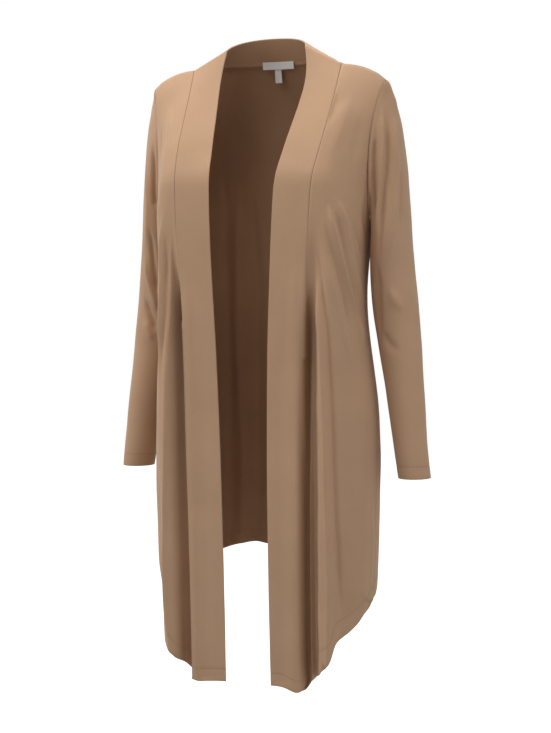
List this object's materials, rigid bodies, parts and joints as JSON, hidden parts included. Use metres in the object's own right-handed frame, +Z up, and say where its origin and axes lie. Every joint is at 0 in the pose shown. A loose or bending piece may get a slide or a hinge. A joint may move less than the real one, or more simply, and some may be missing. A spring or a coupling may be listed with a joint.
{
  "type": "worn open-front long cardigan, hollow",
  "caption": "Long open-front jersey cardigan in camel, hollow as worn, with wide front bands round the neck, long sleeves and a hem that curves down to the front.",
  "frame": {"origin": "in the middle between the shoulders, level with the points where the shoulder seams meet the front bands; the wearer's shoulders and neck hold the cardigan here", "axes": "+X to the wearer's left, -Y to the front, +Z up"},
  "size_m": [0.531, 0.2157, 1.0232],
  "materials": {
    "jersey": "fine matt camel jersey with a soft sheen",
    "label": "off-white woven satin tape"
  },
  "bodies": {
    "root": {"back": "jersey", "left_front": "jersey", "right_front": "jersey", "left_band": "jersey", "right_band": "jersey", "neck_band": "jersey", "left_sleeve": "jersey", "right_sleeve": "jersey", "neck_label": "label", "size_tab": "label"}
  },
  "joints": []
}
